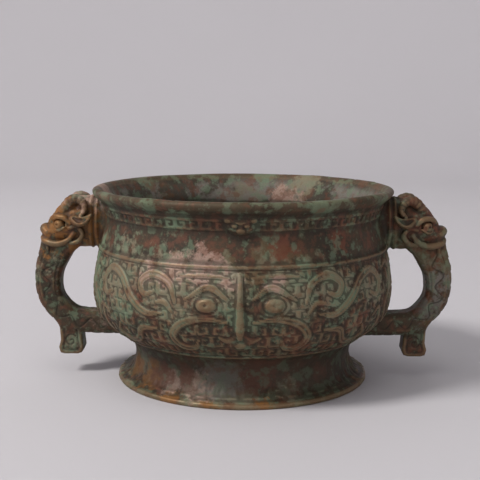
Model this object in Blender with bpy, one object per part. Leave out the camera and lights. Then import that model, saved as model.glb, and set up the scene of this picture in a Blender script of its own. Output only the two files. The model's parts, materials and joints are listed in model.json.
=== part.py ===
"""A cast bronze censer in the form of an archaic food vessel: a squat round bowl with an everted lip,
a flared foot ring, two loop handles under beast heads, and beast masks in relief.

The whole censer is one casting, so it is one object. It stands on its foot at the origin, +Z is up,
the masks look along -Y and +Y, and the handles lie on the X axis. Sizes are in millimetres, and MM
turns them into metres.
"""

import math

import bmesh
import bpy
from mathutils import Vector

MM = 0.001

# Heights are measured from a datum this far above the ground, just over the edge of the foot
DATUM = 2.0

# Driving dimensions of the vessel, measured from the photograph with the lip taken as 175 mm across
LIP_RADIUS = 87.6
LIP_TOP = 110.5
LIP_FLAT = 110.1
LIP_EDGE = 108.3
NECK_RADIUS = 79.4
NECK_HEIGHT = 95.2
BELLY_RADIUS = 87.2
BELLY_HEIGHT = 53.0
WAIST_RADIUS = 63.4
WAIST_HEIGHT = 13.6
FOOT_RADIUS = 73.8
FOOT_EDGE = 0.2
FOOT_BOTTOM = -DATUM
WALL = 3.6

# The bowl's floor and the hollow under it, inside the foot ring
FLOOR_TOP = 18.4
FLOOR_UNDER = 14.4
FOOT_RIM = 4.4

# Raised bowstring lines that border the belly's relief, and the raised band around the neck
STRING_HEIGHTS = (76.6, 26.4)
STRING_HALF_WIDTHS = (1.1, 0.8)
STRING_PROUD = 0.9
NECK_BAND = (94.9, 101.1)
NECK_BAND_PROUD = 0.8

# Relief of the masks
RELIEF_PROUD = 1.1
NOSE_PROUD = 2.0
RELIEF_ROOT = 1.3
RELIEF_TOP_SHARE = 0.62

# Sides of the round shapes, and the angle over which an edge is shaded sharp
COLUMNS = 48
HANDLE_SIDES = 8
HORN_SIDES = 5
SHARP_ANGLE = math.radians(34)

# Radius and height of the outer wall from under the lip down to the foot's edge
WALL_KNOTS = (
    (FOOT_RADIUS - 0.4, 0.6),
    (70.0, 1.8),
    (66.4, 4.2),
    (64.2, 8.4),
    (WAIST_RADIUS, WAIST_HEIGHT),
    (64.4, 18.8),
    (66.8, 23.0),
    (71.8, 27.0),
    (77.8, 31.2),
    (82.8, 36.4),
    (86.0, 43.2),
    (BELLY_RADIUS, BELLY_HEIGHT),
    (86.3, 62.0),
    (84.2, 73.0),
    (81.6, 84.0),
    (79.9, 90.6),
    (NECK_RADIUS, NECK_HEIGHT),
    (80.4, 99.4),
    (83.2, 103.6),
    (LIP_RADIUS - 0.5, 107.0),
)

# Heights at which the faceted wall has a row of corners, between the foot's edge and the lip
WALL_ROWS = (0.6, 2.4, 5.8, 12.0, 20.0, 30.6, 36.0, 42.8, 53.0, 63.6, 86.4, 103.8, 107.0)

# Loop of a handle: outward distance and height of its centre, half thickness, half width
LOOP_STATIONS = (
    (101.0, 84.0, 10.6, 8.0),
    (107.4, 78.0, 10.4, 8.2),
    (111.0, 70.5, 9.1, 8.2),
    (114.4, 61.0, 8.0, 8.2),
    (115.2, 52.0, 7.5, 8.2),
    (113.5, 43.8, 7.1, 8.2),
    (108.4, 36.4, 6.7, 8.2),
    (101.0, 30.8, 6.6, 8.2),
    (89.0, 29.2, 6.7, 8.4),
    (64.0, 29.0, 6.7, 8.6),
)

# Beast head over the loop, from the neck of the vessel out to the snout
HEAD_STATIONS = (
    (70.0, 90.0, 12.8, 9.0),
    (82.0, 89.4, 13.9, 10.0),
    (92.0, 88.8, 14.8, 11.2),
    (100.0, 87.6, 14.2, 11.8),
    (106.6, 84.8, 10.9, 11.2),
    (111.6, 82.6, 8.1, 9.8),
    (115.8, 81.0, 5.2, 8.0),
    (118.2, 80.4, 2.7, 5.4),
)

# Pendant tab under the loop: outward distance and height around its outline
TAB_OUTLINE = (
    (110.0, 32.0), (108.6, 25.0), (108.2, 18.0), (109.4, 13.6), (108.4, 10.4), (106.0, 9.8),
    (98.2, 9.8), (95.8, 10.6), (94.6, 13.6), (95.2, 19.0), (95.6, 25.0), (97.0, 32.0),
)
TAB_HALF_WIDTH = 6.4
TAB_EDGE = 1.2

# Features of the head on one cheek: paths of x, y and z with the radius at each point
HORN = ((105.6, 6.4, 93.2, 2.6), (102.6, 7.6, 99.4, 3.0), (98.0, 8.8, 103.2, 3.0), (93.2, 10.4, 102.0, 2.6),
        (91.4, 11.6, 97.2, 1.6))
EAR = ((98.0, 8.0, 89.0, 3.0), (93.0, 13.6, 91.0, 2.8), (89.6, 17.0, 94.4, 1.0))
BROW = ((111.6, 4.0, 89.8, 1.6), (108.6, 8.8, 92.2, 2.0), (102.8, 11.2, 92.6, 1.7))
LIP_FOLD = ((117.0, 5.0, 79.6, 1.7), (112.2, 9.4, 77.4, 2.1), (104.4, 11.0, 78.6, 1.7),
            (98.6, 10.8, 83.0, 1.2))
EYE = (106.8, 9.8, 88.0)
EYE_RADIUS = 3.2
SNOUT = (114.6, 82.6)
SNOUT_RADIUS = 3.2
SNOUT_HALF_WIDTH = 7.4

# Mask on the belly, on one side of its nose: distance round the belly, height and half width
MASK_STROKES = {
    "brow": ((6.6, 60.4, 0.9), (16.5, 66.4, 2.2), (29.2, 59.8, 0.7)),
    "cheek": ((7.0, 48.8, 0.9), (19.0, 50.4, 1.9), (31.0, 47.0, 2.5), (37.0, 40.0, 2.6), (32.6, 33.8, 2.3),
              (25.0, 34.0, 1.8), (22.4, 38.6, 0.8)),
    "horn": ((35.0, 58.0, 1.0), (39.0, 67.6, 2.2), (49.5, 71.2, 2.5), (57.5, 66.4, 2.3), (54.5, 60.4, 1.9),
             (48.0, 62.4, 0.8)),
    "body": ((43.0, 51.6, 1.0), (53.0, 50.6, 2.3), (64.0, 57.4, 2.8), (73.0, 67.4, 2.8), (84.0, 70.6, 2.5),
             (91.6, 64.2, 2.2), (88.0, 56.4, 1.8), (81.0, 58.6, 0.8)),
    "claw": ((47.0, 42.6, 1.0), (57.0, 41.6, 2.2), (62.4, 35.0, 2.2), (71.0, 32.4, 2.0), (78.6, 36.0, 1.8),
             (75.6, 41.2, 0.8)),
}
NOSE = ((0.0, 73.0, 1.2), (0.0, 60.0, 2.0), (0.0, 46.0, 3.2), (0.0, 41.0, 2.2))

# Rounded bosses: distance round the belly, height, half sizes across and up, and how far they stand out
MASK_EYE = (17.6, 57.4, 5.8, 4.0, 2.7)
MOUTH = (0.0, 36.4, 4.0, 2.4, 1.6)
NECK_MASK = (0.0, 97.8, 8.4, 5.4, 3.8)


def clear_scene():
    for stale in list(bpy.data.objects):
        bpy.data.objects.remove(stale)


def bronze():
    """Old bronze under a mottled brown and green crust."""
    material = bpy.data.materials.new("patinated_bronze")
    material.use_nodes = True
    shader = material.node_tree.nodes["Principled BSDF"]
    shader.inputs["Base Color"].default_value = (0.105, 0.088, 0.062, 1.0)
    shader.inputs["Metallic"].default_value = 0.35
    shader.inputs["Roughness"].default_value = 0.62
    return material


def smooth(points, per_span):
    """Points on a Catmull-Rom curve through the given ones, of any dimension."""
    ends = [points[0], *points, points[-1]]
    found = []
    for before, here, there, after in zip(ends, ends[1:], ends[2:], ends[3:]):
        for step in range(per_span):
            t = step / per_span
            found.append(tuple(
                b + 0.5 * t * (c - a + t * (2 * a - 5 * b + 4 * c - d + t * (3 * (b - c) + d - a)))
                for a, b, c, d in zip(before, here, there, after)
            ))
    return [*found, tuple(points[-1])]


FINE_WALL = smooth(WALL_KNOTS, 12)


def wall_radius(height):
    """Radius of the outer wall at a height, without the raised lines."""
    for (r_low, z_low), (r_high, z_high) in zip(FINE_WALL, FINE_WALL[1:]):
        if height <= z_high:
            share = (height - z_low) / (z_high - z_low)
            return r_low + (r_high - r_low) * share
    return FINE_WALL[-1][0]


def wall_lean(height):
    """How fast the wall's radius grows with height."""
    step = 0.4
    return (wall_radius(height + step) - wall_radius(height - step)) / (2 * step)


def wall_point(around, height, lift, turn=0.0):
    """A point lifted off the wall, where around is measured along the belly from the mask's nose."""
    lean = wall_lean(height)
    length = math.hypot(1.0, lean)
    radius = wall_radius(height) + lift / length
    angle = around / BELLY_RADIUS + turn
    return Vector((radius * math.sin(angle), -radius * math.cos(angle), height - lift * lean / length)) * MM


def hidden_helper(name, mesh):
    """An object that only takes part in a Boolean."""
    helper = bpy.data.objects.new(name, mesh)
    helper.hide_render = True
    helper.display_type = "WIRE"
    return helper


def closed_mesh(name, build):
    """A mesh from a function that fills a bmesh, raised to the datum, with its faces pointing out."""
    work = bmesh.new()
    build(work)
    bmesh.ops.translate(work, verts=work.verts, vec=(0.0, 0.0, DATUM * MM))
    bmesh.ops.recalc_face_normals(work, faces=work.faces)
    mesh = bpy.data.meshes.new(name)
    work.to_mesh(mesh)
    work.free()
    mesh.shade_smooth()
    mesh.set_sharp_from_angle(angle=SHARP_ANGLE)
    return mesh


def turned(name, profile):
    """A solid turned about the Z axis. The profile starts and ends on the axis, as radius and height."""
    def build(work):
        first = work.verts.new((0.0, 0.0, profile[0][1] * MM))
        last = work.verts.new((0.0, 0.0, profile[-1][1] * MM))
        rings = []
        for radius, height in profile[1:-1]:
            rings.append([
                work.verts.new((
                    radius * MM * math.cos(2 * math.pi * k / COLUMNS),
                    radius * MM * math.sin(2 * math.pi * k / COLUMNS),
                    height * MM,
                ))
                for k in range(COLUMNS)
            ])
        for k in range(COLUMNS):
            after = (k + 1) % COLUMNS
            work.faces.new((first, rings[0][k], rings[0][after]))
            work.faces.new((last, rings[-1][after], rings[-1][k]))
            for low, high in zip(rings, rings[1:]):
                work.faces.new((low[k], high[k], high[after], low[after]))
    return closed_mesh(name, build)


def outer_profile():
    """From the axis at the top, over the lip, down the wall and its raised lines, to the axis below."""
    rows = [(wall_radius(height), height) for height in WALL_ROWS]
    for middle, half_width in zip(STRING_HEIGHTS, STRING_HALF_WIDTHS):
        rows += [
            (wall_radius(middle + offset) + proud, middle + offset)
            for offset, proud in ((half_width, 0.0), (0.0, STRING_PROUD), (-half_width, 0.0))
        ]
    rows += [
        (wall_radius(edge + offset) + proud, edge + offset)
        for edge, outward in zip(NECK_BAND, (-1, 1))
        for offset, proud in ((0.3 * outward, 0.0), (-0.3 * outward, NECK_BAND_PROUD))
    ]
    rows.sort(key=lambda row: -row[1])
    lip = [(0.0, LIP_FLAT), (LIP_RADIUS - 4.4, LIP_FLAT), (LIP_RADIUS - 2.2, LIP_TOP),
           (LIP_RADIUS - 0.4, LIP_EDGE + 1.2), (LIP_RADIUS, LIP_EDGE)]
    foot = [(FOOT_RADIUS, FOOT_EDGE), (FOOT_RADIUS, FOOT_BOTTOM + 0.5), (FOOT_RADIUS - 0.6, FOOT_BOTTOM),
            (0.0, FOOT_BOTTOM)]
    return lip + rows + foot


def bowl_profile():
    """The hollow of the bowl, whose wall follows the outer one, with its top above the lip."""
    sides = []
    for height in (31.4, 37.4, 46.0, 58.0, 76.0, 95.2, 101.0):
        lean = wall_lean(height)
        length = math.hypot(1.0, lean)
        sides.append((wall_radius(height) - WALL / length, height + WALL * lean / length))
    floor = [(0.0, FLOOR_TOP), (44.0, FLOOR_TOP), (56.0, FLOOR_TOP + 2.6), (66.4, FLOOR_TOP + 9.6)]
    mouth = [(LIP_RADIUS - 7.0, 106.4), (LIP_RADIUS - 4.2, 112.0), (0.0, 112.0)]
    return floor + sides + mouth


def foot_hollow_profile():
    inner = FOOT_RADIUS - FOOT_RIM
    below = FOOT_BOTTOM - 2.0
    return [(0.0, below), (inner, below), (inner - 0.2, FOOT_BOTTOM + 0.8), (62.4, 3.6), (59.4, 10.0),
            (53.6, FLOOR_UNDER), (0.0, FLOOR_UNDER)]


def ring_around(centre, along, across, half_thickness, half_width, sides):
    """Corners of a rounded section, square to the path, with across kept in it."""
    along = along.normalized()
    wide = (across - along * across.dot(along)).normalized()
    thick = along.cross(wide)
    corners = []
    for k in range(sides):
        angle = 2 * math.pi * (k + 0.5) / sides
        c, s = math.cos(angle), math.sin(angle)
        round_off = (abs(c) ** 3 + abs(s) ** 3) ** (-1 / 3)
        corners.append(centre + (wide * (c * half_width) + thick * (s * half_thickness)) * round_off)
    return corners


def swept(name, stations, across, sides):
    """A closed solid through stations of (centre, half thickness, half width)."""
    centres = [Vector(station[0]) for station in stations]

    def build(work):
        rings = []
        for index, (_, half_thickness, half_width) in enumerate(stations):
            before = centres[max(index - 1, 0)]
            after = centres[min(index + 1, len(centres) - 1)]
            ring = ring_around(centres[index], after - before, across, half_thickness, half_width, sides)
            rings.append([work.verts.new(corner * MM) for corner in ring])
        work.faces.new(rings[0])
        work.faces.new(rings[-1])
        for low, high in zip(rings, rings[1:]):
            for k in range(sides):
                after = (k + 1) % sides
                work.faces.new((low[k], low[after], high[after], high[k]))
    return closed_mesh(name, build)


def in_plane(stations, side):
    """Stations of a handle in the XZ plane, on the side of +X or -X."""
    return [((side * x, 0.0, z), thick, wide) for x, z, thick, wide in stations]


def cheek_rod(name, path, side, cheek):
    """A horn, ear or fold of the head, as a tapering rod."""
    across = Vector((0.0, 1.0, 0.0)) if name.endswith("horn") else Vector((0.0, 0.0, 1.0))
    stations = [((side * x, cheek * y, z), radius, radius) for x, y, z, radius in path]
    return hidden_helper(name, swept(name, stations, across, HORN_SIDES))


def dome(name, centre, radius):
    def build(work):
        bmesh.ops.create_icosphere(work, subdivisions=1, radius=radius * MM)
        for corner in work.verts:
            corner.co += centre * MM
    return hidden_helper(name, closed_mesh(name, build))


def tab(name, side):
    """The flat pendant under the loop, with its edges eased."""
    middle_x = sum(x for x, _ in TAB_OUTLINE) / len(TAB_OUTLINE)
    middle_z = sum(z for _, z in TAB_OUTLINE) / len(TAB_OUTLINE)

    def build(work):
        layers = []
        for y, inset in ((-1.0, TAB_EDGE), (-0.75, 0.0), (0.75, 0.0), (1.0, TAB_EDGE)):
            layers.append([
                work.verts.new(Vector((
                    side * (x - inset * (x - middle_x) / 8.0),
                    y * TAB_HALF_WIDTH,
                    z - inset * (z - middle_z) / 12.0,
                )) * MM)
                for x, z in TAB_OUTLINE
            ])
        work.faces.new(layers[0])
        work.faces.new(layers[-1])
        for low, high in zip(layers, layers[1:]):
            for k in range(len(low)):
                after = (k + 1) % len(low)
                work.faces.new((low[k], low[after], high[after], high[k]))
    return hidden_helper(name, closed_mesh(name, build))


def handle(side):
    """Everything that is cast on at one side: loop, pendant tab and beast head."""
    across = Vector((0.0, 1.0, 0.0))
    label = "right" if side > 0 else "left"
    pieces = [
        hidden_helper(f"{label}_loop", swept("loop", in_plane(LOOP_STATIONS, side), across, HANDLE_SIDES)),
        hidden_helper(f"{label}_head", swept("head", in_plane(HEAD_STATIONS, side), across, HANDLE_SIDES)),
        tab(f"{label}_tab", side),
    ]
    snout = [
        ((side * SNOUT[0], y * SNOUT_HALF_WIDTH, SNOUT[1]), SNOUT_RADIUS * share, SNOUT_RADIUS * share)
        for y, share in ((-1.0, 0.6), (-0.7, 1.0), (0.7, 1.0), (1.0, 0.6))
    ]
    pieces.append(hidden_helper(f"{label}_snout", swept("snout", snout, Vector((0.0, 0.0, 1.0)), 8)))
    for cheek in (-1, 1):
        for part_name, path in (("horn", HORN), ("ear", EAR), ("brow", BROW), ("lip_fold", LIP_FOLD)):
            pieces.append(cheek_rod(f"{label}_{part_name}", path, side, cheek))
        pieces.append(dome(f"{label}_eye", Vector((side * EYE[0], cheek * EYE[1], EYE[2])), EYE_RADIUS))
    return pieces


def stroke(name, knots, mirror, turn, proud=RELIEF_PROUD):
    """A raised flat-topped line on the wall, with sloping sides and its root sunk into the metal."""
    path = smooth([(mirror * s, z, half_width) for s, z, half_width in knots], 2)

    def build(work):
        rings = []
        for index, (s, z, half_width) in enumerate(path):
            before, after = path[max(index - 1, 0)], path[min(index + 1, len(path) - 1)]
            run = Vector((after[0] - before[0], after[1] - before[1])).normalized()
            square = Vector((-run.y, run.x)) * half_width
            rings.append([
                work.verts.new(wall_point(s + square.x * reach, z + square.y * reach, lift, turn))
                for reach, lift in ((-1.0, -RELIEF_ROOT), (1.0, -RELIEF_ROOT),
                                    (RELIEF_TOP_SHARE, proud), (-RELIEF_TOP_SHARE, proud))
            ])
        work.faces.new(rings[0])
        work.faces.new(rings[-1])
        for low, high in zip(rings, rings[1:]):
            for k in range(4):
                after = (k + 1) % 4
                work.faces.new((low[k], low[after], high[after], high[k]))
    return hidden_helper(name, closed_mesh(name, build))


def boss(name, shape, mirror, turn):
    """A rounded knob on the wall, such as an eye: around, height, half sizes and how far it stands out."""
    s, z, half_across, half_up, proud = shape
    sides = 8

    def build(work):
        rings = []
        for share, lift in ((1.0, -RELIEF_ROOT), (0.95, 0.3 * proud), (0.55, 0.85 * proud)):
            rings.append([
                work.verts.new(wall_point(
                    mirror * s + half_across * share * math.cos(2 * math.pi * k / sides),
                    z + half_up * share * math.sin(2 * math.pi * k / sides),
                    lift, turn,
                ))
                for k in range(sides)
            ])
        top = work.verts.new(wall_point(mirror * s, z, proud, turn))
        work.faces.new(rings[0])
        for k in range(sides):
            after = (k + 1) % sides
            for low, high in zip(rings, rings[1:]):
                work.faces.new((low[k], low[after], high[after], high[k]))
            work.faces.new((rings[-1][k], rings[-1][after], top))
    return hidden_helper(name, closed_mesh(name, build))


def mask(turn):
    """The beast mask on one face of the belly, with the small one above it on the neck."""
    pieces = [
        stroke("nose", NOSE, 1, turn, NOSE_PROUD),
        boss("mouth", MOUTH, 1, turn),
        boss("neck_mask", NECK_MASK, 1, turn),
    ]
    for mirror in (-1, 1):
        pieces += [stroke(name, knots, mirror, turn) for name, knots in MASK_STROKES.items()]
        pieces.append(boss("eye", MASK_EYE, mirror, turn))
    return pieces


def add_boolean(censer, operation, **operand):
    modifier = censer.modifiers.new(operation.lower(), "BOOLEAN")
    modifier.operation = operation
    modifier.solver = "EXACT"
    for key, value in operand.items():
        setattr(modifier, key, value)


def build_censer():
    """The solid vessel with all that is cast on it, then hollowed from above and from below."""
    scene = bpy.context.scene
    censer = bpy.data.objects.new("censer", turned("vessel", outer_profile()))
    censer.data.materials.append(bronze())
    scene.collection.objects.link(censer)

    cast_on = bpy.data.collections.new("cast_on")
    scene.collection.children.link(cast_on)
    for piece in handle(-1) + handle(1) + mask(0.0) + mask(math.pi):
        cast_on.objects.link(piece)
    add_boolean(censer, "UNION", operand_type="COLLECTION", collection=cast_on)

    for name, profile in (("bowl_hollow", bowl_profile()), ("foot_hollow", foot_hollow_profile())):
        cutter = hidden_helper(name, turned(name, profile))
        scene.collection.objects.link(cutter)
        add_boolean(censer, "DIFFERENCE", object=cutter)


clear_scene()
build_censer()
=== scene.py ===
"""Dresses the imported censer: its vessel with the fine cast relief, its two beast-head handles, the old
patina over all of it, and a plain stage with soft light. Shapes are worked out in millimetres, and MM
turns them into metres.
"""

import json
import math

import bpy
import numpy as np
from bpy.props import FloatProperty, FloatVectorProperty, IntProperty, PointerProperty
from mathutils import Matrix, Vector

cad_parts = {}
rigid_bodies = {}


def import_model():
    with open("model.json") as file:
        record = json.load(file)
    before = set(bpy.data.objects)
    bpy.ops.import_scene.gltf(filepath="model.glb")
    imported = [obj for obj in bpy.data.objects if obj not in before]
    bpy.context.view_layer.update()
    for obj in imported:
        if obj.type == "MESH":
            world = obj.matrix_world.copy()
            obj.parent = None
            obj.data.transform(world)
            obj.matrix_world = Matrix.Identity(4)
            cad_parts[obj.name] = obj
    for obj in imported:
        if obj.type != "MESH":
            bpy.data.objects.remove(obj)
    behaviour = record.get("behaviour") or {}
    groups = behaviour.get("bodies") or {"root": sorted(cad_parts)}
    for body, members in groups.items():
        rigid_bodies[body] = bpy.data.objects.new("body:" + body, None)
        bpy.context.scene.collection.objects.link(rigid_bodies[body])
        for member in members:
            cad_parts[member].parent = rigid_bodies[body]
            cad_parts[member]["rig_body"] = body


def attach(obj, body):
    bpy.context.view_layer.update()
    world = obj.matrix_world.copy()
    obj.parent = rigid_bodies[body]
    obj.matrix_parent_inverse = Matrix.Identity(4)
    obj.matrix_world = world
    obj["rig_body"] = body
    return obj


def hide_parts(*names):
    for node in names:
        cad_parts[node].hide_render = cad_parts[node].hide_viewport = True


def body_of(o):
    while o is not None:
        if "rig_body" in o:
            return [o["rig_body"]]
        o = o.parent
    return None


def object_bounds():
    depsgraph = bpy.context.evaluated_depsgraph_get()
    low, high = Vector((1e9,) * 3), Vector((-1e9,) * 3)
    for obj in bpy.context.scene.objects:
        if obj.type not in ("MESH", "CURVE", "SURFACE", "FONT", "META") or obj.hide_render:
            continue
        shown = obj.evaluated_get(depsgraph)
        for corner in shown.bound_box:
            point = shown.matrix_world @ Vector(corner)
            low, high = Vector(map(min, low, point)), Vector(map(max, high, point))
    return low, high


bl_info = {
    "name": "Archaic Bronze Censer",
    "version": (1, 0, 0),
    "blender": (4, 5, 0),
    "location": "3D View > Sidebar > Censer",
    "description": "Builds the relief, handles, patina and stage of a cast bronze censer",
    "category": "Object",
}

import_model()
CAD_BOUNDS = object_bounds()

MM = 0.001

# Heights are measured from a datum this far above the floor, just over the edge of the foot
DATUM = 2.0

# The vessel's section as radius and height, from the middle of the bowl, over the lip and down to the foot
BOWL_MIDDLE = 18.4
FLOOR_MIDDLE = ((2.0, BOWL_MIDDLE), (10.0, BOWL_MIDDLE))
FLOOR_EDGE = ((12.8, BOWL_MIDDLE), (41.0, BOWL_MIDDLE))
BOWL = ((44.0, 18.4), (56.0, 21.0), (63.8, 26.0), (69.7, 30.0), (75.5, 34.0), (79.9, 38.8), (82.7, 45.4),
        (83.5, 54.8), (81.3, 69.3), (77.9, 84.1), (75.9, 95.4), (78.0, 102.6), (80.6, 106.6), (82.4, 109.2))
LIP = ((82.4, 109.2), (84.2, 110.3), (86.2, 110.0), (87.4, 109.0), (87.5, 107.8), (86.6, 106.4),
       (84.8, 104.8))
WALL = ((84.8, 104.8), (82.6, 102.8), (80.4, 99.4), (79.4, 95.2), (79.9, 90.6), (81.6, 84.0), (84.2, 73.0),
        (86.3, 62.0), (87.2, 53.0), (86.0, 43.2), (82.8, 36.4), (77.8, 31.2), (71.8, 27.0), (66.8, 23.0),
        (64.4, 18.8), (63.4, 13.6), (64.2, 8.4), (66.4, 4.2), (70.0, 1.8), (73.4, 0.6))
EDGE = ((73.4, 0.6), (73.7, 0.0), (73.7, -1.3), (73.1, -2.0), (69.4, -2.0), (69.2, -1.2))
HOLLOW = ((69.2, -1.2), (66.6, 0.4), (62.4, 3.6), (59.4, 10.0), (53.6, 14.4), (38.0, 14.4), (24.0, 14.4),
          (9.0, 14.4))
HOLLOW_MIDDLE = 14.4
BELLY_RADIUS = 87.2

# Heights of the two bowstring lines round the belly, and of the bands round the neck and the foot
STRINGS = (76.6, 26.4)
STRING_HALF_WIDTHS = (1.1, 0.8)
STRING_PROUD = 0.9
NECK_BAND = (94.9, 101.1)
NECK_BAND_PROUD = 0.8
FOOT_BAND = (1.6, 8.2)
FOOT_BAND_DEPTH = 0.4

# Upper and lower height of the carved neck and of the carved belly
STRING_MARGIN = 1.8
CARVED_NECK = (NECK_BAND[1] + 1.2, NECK_BAND[0] - 4.0)
CARVED_BELLY = (STRINGS[0] + STRING_MARGIN, STRINGS[1] - STRING_MARGIN)

# The ground of squared spirals: how many cells go round, and how many rows fill the belly
CELLS_ROUND = 72
CELL_ROWS = 7
CELL_WIDTH = 2 * math.pi * BELLY_RADIUS / CELLS_ROUND
FOOT_CELL_WIDTH = 1.5 * CELL_WIDTH

# Mask on the belly, on one side of its nose: distance round the belly, height and half width
MASK_STROKES = (
    ((6.6, 60.4, 0.9), (16.5, 66.4, 2.2), (29.2, 59.8, 0.7)),
    ((7.0, 48.8, 0.9), (19.0, 50.4, 1.9), (31.0, 47.0, 2.5), (37.0, 40.0, 2.6), (32.6, 33.8, 2.3),
     (25.0, 34.0, 1.8), (22.4, 38.6, 0.8)),
    ((35.0, 58.0, 1.0), (39.0, 67.6, 2.2), (49.5, 71.2, 2.5), (57.5, 66.4, 2.3), (54.5, 60.4, 1.9),
     (48.0, 62.4, 0.8)),
    ((43.0, 51.6, 1.0), (53.0, 50.6, 2.3), (64.0, 57.4, 2.8), (73.0, 67.4, 2.8), (84.0, 70.6, 2.5),
     (91.6, 64.2, 2.2), (88.0, 56.4, 1.8), (81.0, 58.6, 0.8)),
    ((47.0, 42.6, 1.0), (57.0, 41.6, 2.2), (62.4, 35.0, 2.2), (71.0, 32.4, 2.0), (78.6, 36.0, 1.8),
     (75.6, 41.2, 0.8)),
)
MASK_PROUD = 1.1

# Strokes beside the mask, which stand out less
SIDE_STROKES = (
    ((6.5, 71.4, 0.8), (20.0, 72.2, 1.4), (32.0, 71.4, 0.7)),
    ((1.5, 41.6, 1.2), (6.4, 38.6, 1.8), (11.2, 40.8, 0.7)),
    ((36.4, 52.6, 0.8), (41.0, 57.4, 1.8), (46.4, 57.0, 0.7)),
    ((98.0, 69.0, 0.8), (107.0, 71.4, 2.0), (112.6, 63.6, 2.2), (106.4, 55.4, 2.2), (100.4, 47.6, 2.2),
     (105.0, 38.6, 2.1), (113.0, 38.4, 1.6), (114.0, 44.6, 0.7)),
    ((84.6, 45.0, 0.8), (91.4, 48.5, 1.7), (93.5, 40.0, 1.8), (89.0, 33.6, 1.5), (83.6, 31.0, 0.7)),
)
SIDE_PROUD = 0.8
NOSE = ((0.0, 73.0, 1.2), (0.0, 60.0, 2.0), (0.0, 46.0, 3.2), (0.0, 41.0, 2.2))
NOSE_PROUD = 1.9

# Rounded bosses: distance round the belly, height, half width, half height and how far they stand out
MASK_EYE = (17.6, 57.4, 5.8, 4.0, 2.7)
SIDE_EYE = (104.8, 63.0, 2.4, 2.2, 1.2)
MOUTH = (0.0, 36.4, 4.0, 2.4, 1.6)
NECK_FACE = (0.0, 97.8, 8.4, 5.4, 3.6)
NECK_EYE = (3.5, 98.9, 1.6, 1.3, 1.0)
NECK_SNOUT = (0.0, 95.2, 2.4, 2.0, 1.1)
NECK_EAR = (6.8, 101.2, 2.6, 1.9, 2.2)
NECK_BROW_HEIGHT = 100.6

# Right handle: outward distance and height of a section, its half thickness and half width
LOOP = ((101.0, 84.0, 10.6, 8.0), (107.4, 78.0, 10.4, 8.2), (111.0, 70.5, 9.1, 8.2), (114.4, 61.0, 8.0, 8.2),
        (115.2, 52.0, 7.5, 8.2), (113.5, 43.8, 7.1, 8.2), (108.4, 36.4, 6.7, 8.2), (101.0, 30.8, 6.6, 8.2),
        (89.0, 29.2, 6.7, 8.4), (64.0, 29.0, 6.7, 8.6))
HEAD = ((70.0, 90.0, 12.8, 9.0), (82.0, 89.4, 13.9, 10.0), (92.0, 88.8, 14.8, 11.2),
        (100.0, 87.6, 13.8, 11.6), (106.6, 84.8, 10.4, 10.6), (112.2, 82.2, 6.3, 8.2))

# Outline of the pendant tab as outward distance and height, its half width and the rounding of its edge
TAB = ((110.0, 32.0), (108.6, 25.0), (108.2, 18.0), (109.4, 13.6), (108.4, 10.4), (106.0, 9.8), (98.2, 9.8),
       (95.8, 10.6), (94.6, 13.6), (95.2, 19.0), (95.6, 25.0), (97.0, 32.0))
TAB_HALF_WIDTH = 6.4
TAB_EDGE = 1.4

# Rods of the head on one side: outward distance, distance from the middle, height and radius
HORN = ((105.6, 6.2, 93.2, 2.5), (102.6, 7.6, 99.2, 3.0), (98.0, 8.8, 103.0, 2.9), (93.2, 10.2, 101.8, 2.4),
        (91.2, 11.8, 97.4, 1.8), (93.6, 12.8, 93.8, 1.2))
EAR = ((98.6, 10.6, 91.4, 2.4), (94.6, 13.6, 90.2, 3.0), (90.2, 15.6, 91.6, 2.2), (87.0, 16.6, 94.6, 0.9))
EAR_HOLLOW = ((97.6, 13.4, 92.4, 0.8), (93.6, 16.4, 91.6, 1.8), (89.6, 18.0, 93.4, 1.2))
BROW = ((113.0, 3.0, 89.0, 1.3), (109.6, 8.4, 92.0, 1.8), (104.0, 11.2, 92.4, 1.7), (100.2, 11.8, 89.2, 1.1))
LOWER_LID = ((110.6, 7.8, 87.0, 0.8), (107.6, 10.8, 84.6, 0.9), (103.4, 11.8, 86.6, 0.7))
LIP_FOLD = ((117.6, 3.4, 79.6, 1.5), (114.8, 8.0, 77.8, 1.9), (108.0, 10.3, 76.8, 1.9),
            (101.8, 10.7, 79.0, 1.5), (98.2, 10.9, 83.2, 1.1))
FANG = ((113.2, 8.4, 77.6, 1.3), (113.9, 8.6, 75.0, 1.0), (113.9, 8.5, 72.8, 0.4))
CHEEK = ((100.6, 11.8, 86.4, 0.9), (96.0, 11.9, 87.2, 1.2), (93.0, 11.6, 83.0, 1.4), (95.4, 11.2, 78.8, 1.4),
         (100.2, 11.0, 77.2, 0.9))
SNOUT = ((117.2, 0.0, 84.6, 2.6), (116.8, 3.4, 84.8, 2.5), (114.6, 6.8, 83.2, 1.6))
RIDGE = ((113.6, 0.0, 87.4, 1.1), (108.0, 0.0, 94.2, 1.6), (101.0, 0.0, 101.0, 1.7), (92.0, 0.0, 103.0, 1.4),
         (84.0, 0.0, 102.4, 1.0))

# Balls of the head in the same terms, the outward distances of its collars, and the rings on a horn
EYE = (106.6, 9.6, 88.0, 3.1)
PUPIL = (108.2, 12.4, 88.2, 1.1)
NOSTRIL = (119.2, 3.4, 85.8, 1.5)
COLLARS = (85.0, 88.4)
COLLAR_PROUD = 0.7
HORN_RINGS = 11
HORN_RING_PROUD = 0.07

# Fillet between handle and wall, how deep the handle is rooted, and the space that holds its right half
WALL_FILLET = 3.6
ROOT_DEPTH = 2.4
HANDLE_SPACE = ((70.0, 0.0, 7.0), (124.0, 19.5, 107.0))

# Lines on the loop and the tab: the rails' distance from the loop's middle, wave, scales and curl
RAIL = 5.0
WAVE_HEIGHT = 2.6
WAVE_LENGTH = 13.0
SCALE_LENGTH = 6.6
CURL_MIDDLE = (101.9, 18.0)
CURL_RADIUS = 4.2
CURL_PITCH = 3.0

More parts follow.
